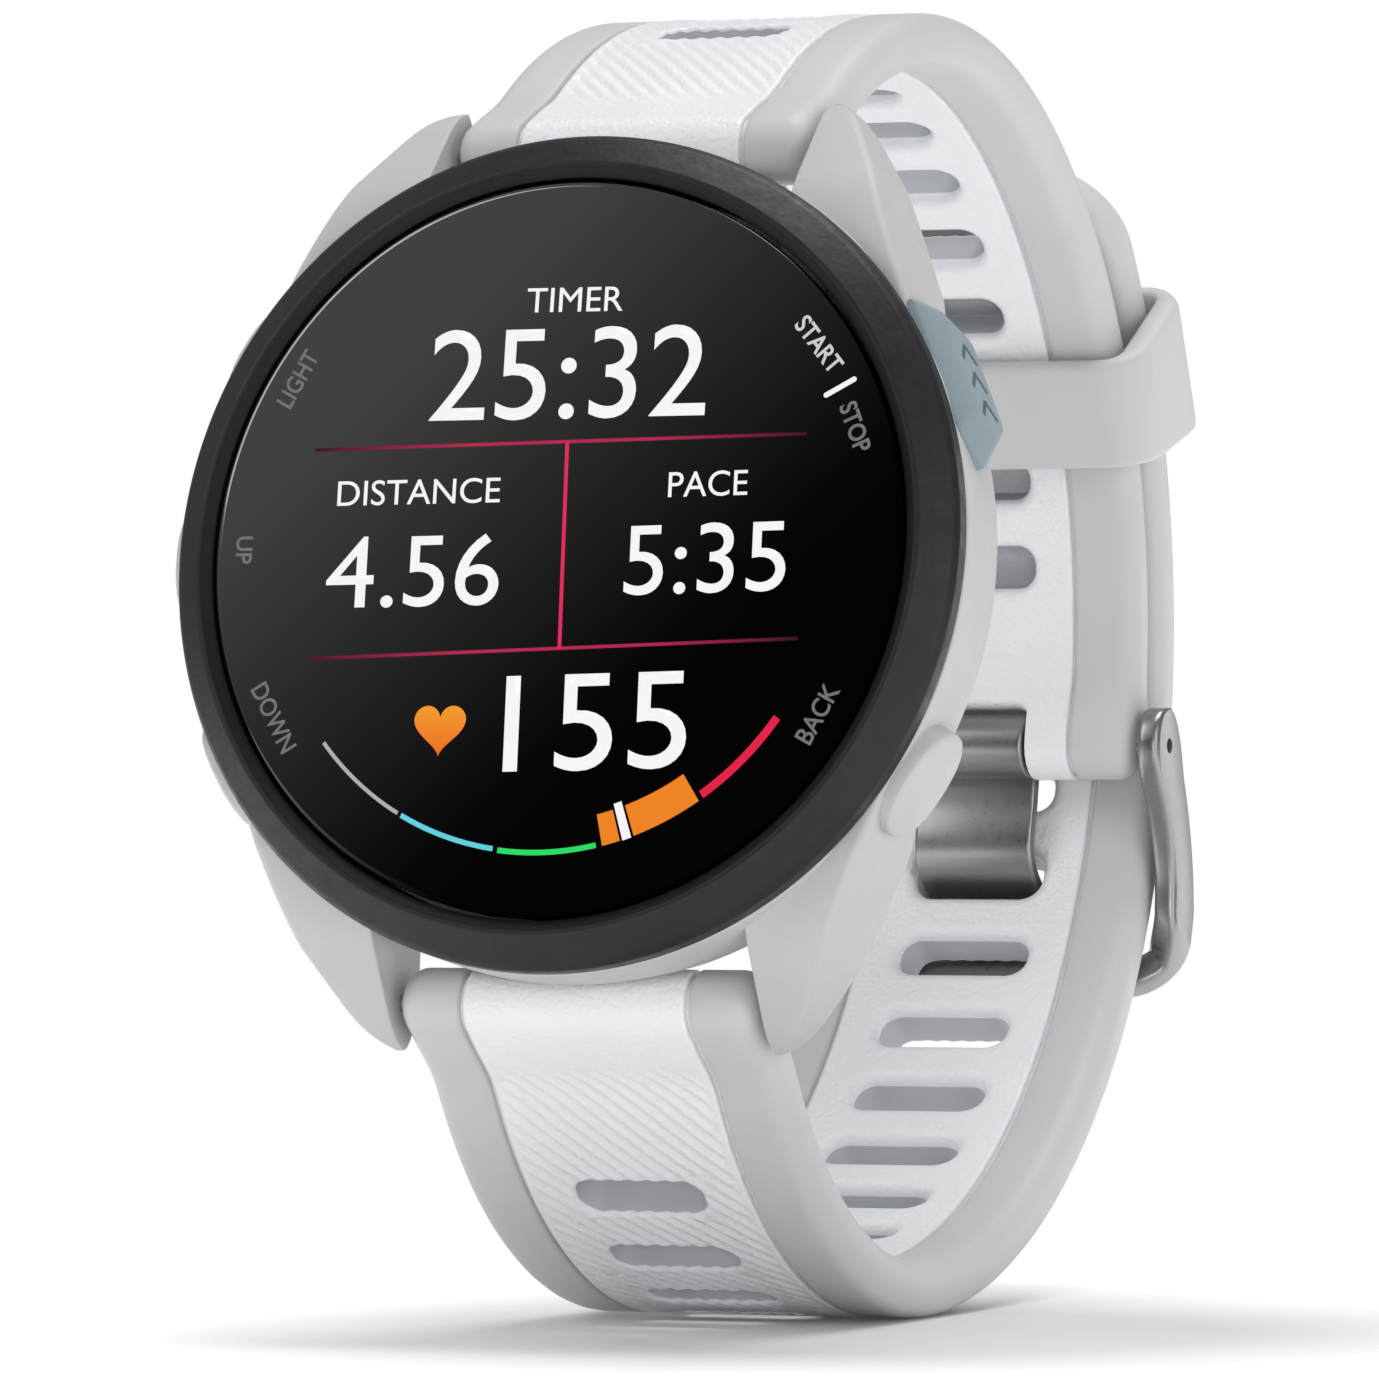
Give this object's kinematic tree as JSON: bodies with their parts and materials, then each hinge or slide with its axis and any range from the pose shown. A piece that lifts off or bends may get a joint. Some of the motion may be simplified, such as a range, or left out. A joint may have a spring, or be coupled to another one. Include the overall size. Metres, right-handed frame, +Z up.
{
  "type": "gps running watch",
  "caption": "Round sports watch with a black bezel, side buttons, and a slotted two-tone silicone strap closed in a loop by a pin buckle and keeper.",
  "frame": {"origin": "on the surface under the strap, at the middle of the footprint", "axes": "+Z up, +X across the dial to the reader's right, -Y the side that the dial faces, with the dial leaned back 10 degrees"},
  "size_m": [0.0448, 0.0684, 0.0688],
  "materials": {
    "lens": "polished chemically strengthened glass",
    "bezel": "fine leather-like grain",
    "display": "black emissive display",
    "case_shell": "fine matt grain, warm light grey",
    "strap_grey": "satin silicone, warm light grey",
    "strap_white": "satin silicone, cool white",
    "accent": "satin blue-grey",
    "buckle_steel": "brushed, dark grey",
    "steel": "bright turned steel",
    "board": "circuit board",
    "cell": "foil pouch",
    "seal": "matt",
    "contact": "gold plated"
  },
  "bodies": {
    "watch": {"front_glass": "lens", "bezel": "bezel", "display_module": "display", "antenna_ring": "contact", "front_gasket": "seal", "case_body": "case_shell", "main_board": "board", "battery": "cell", "vibration_motor": "steel", "buzzer": "contact", "sensor_board": "board", "rear_gasket": "seal", "rear_cover": "case_shell", "sensor_window": "lens", "charging_port": "bezel", "charging_contact_1": "contact", "charging_contact_2": "contact", "charging_contact_3": "contact", "charging_contact_4": "contact", "rear_screw_1": "steel", "rear_screw_2": "steel", "rear_screw_3": "steel", "rear_screw_4": "steel", "upper_spring_bar": "steel", "upper_strap_frame": "strap_grey", "upper_strap_core": "strap_white", "lower_spring_bar": "steel", "lower_strap_frame": "strap_grey", "lower_strap_core": "strap_white"},
    "start_stop_press": {"start_stop_button": "accent", "start_stop_stem": "steel"},
    "back_press": {"back_button": "case_shell", "back_stem": "steel"},
    "light_press": {"light_button": "case_shell", "light_stem": "steel"},
    "up_press": {"up_button": "case_shell", "up_stem": "steel"},
    "down_press": {"down_button": "case_shell", "down_stem": "steel"},
    "buckle": {"buckle_frame": "buckle_steel", "buckle_pin": "steel"},
    "tongue": {"buckle_tongue": "buckle_steel"},
    "keeper": {"strap_keeper": "strap_grey"},
    "upper_plunger": {"upper_release_plunger": "steel"},
    "lower_plunger": {"lower_release_plunger": "steel"}
  },
  "joints": [
    {"name": "start_stop_travel", "type": "slide", "parent": "watch", "child": "start_stop_press", "axis": [-0.9135, -0.0706, -0.4006], "range_m": [0, 0.0005], "stiffness_N_per_m": 1500},
    {"name": "back_travel", "type": "slide", "parent": "watch", "child": "back_press", "axis": [-0.8572, 0.0894, 0.5072], "range_m": [0, 0.0005], "stiffness_N_per_m": 1500},
    {"name": "light_travel", "type": "slide", "parent": "watch", "child": "light_press", "axis": [0.866, -0.0868, -0.4924], "range_m": [0, 0.0005], "stiffness_N_per_m": 1500},
    {"name": "up_travel", "type": "slide", "parent": "watch", "child": "up_press", "axis": [1, 0, 0], "range_m": [0, 0.0005], "stiffness_N_per_m": 1500},
    {"name": "down_travel", "type": "slide", "parent": "watch", "child": "down_press", "axis": [0.866, 0.0868, 0.4924], "range_m": [0, 0.0005], "stiffness_N_per_m": 1500},
    {"name": "buckle_swing", "type": "hinge", "parent": "watch", "child": "buckle", "pos_m": [0, 0.02776, 0.02991], "axis": [1, 0, 0], "range_deg": [0, 1.5]},
    {"name": "tongue_lift", "type": "hinge", "parent": "buckle", "child": "tongue", "pos_m": [0, 0.02776, 0.02991], "axis": [1, 0, 0], "range_deg": [0, 1.5]},
    {"name": "keeper_slide", "type": "hinge", "parent": "watch", "child": "keeper", "pos_m": [0, -0.00225, 0.03705], "axis": [1, 0, 0], "range_deg": [-20, 12]},
    {"name": "upper_bar_release", "type": "slide", "parent": "watch", "child": "upper_plunger", "axis": [-1, 0, 0], "range_m": [0, 0.0014], "stiffness_N_per_m": 1500},
    {"name": "lower_bar_release", "type": "slide", "parent": "watch", "child": "lower_plunger", "axis": [-1, 0, 0], "range_m": [0, 0.0014], "stiffness_N_per_m": 1500}
  ]
}
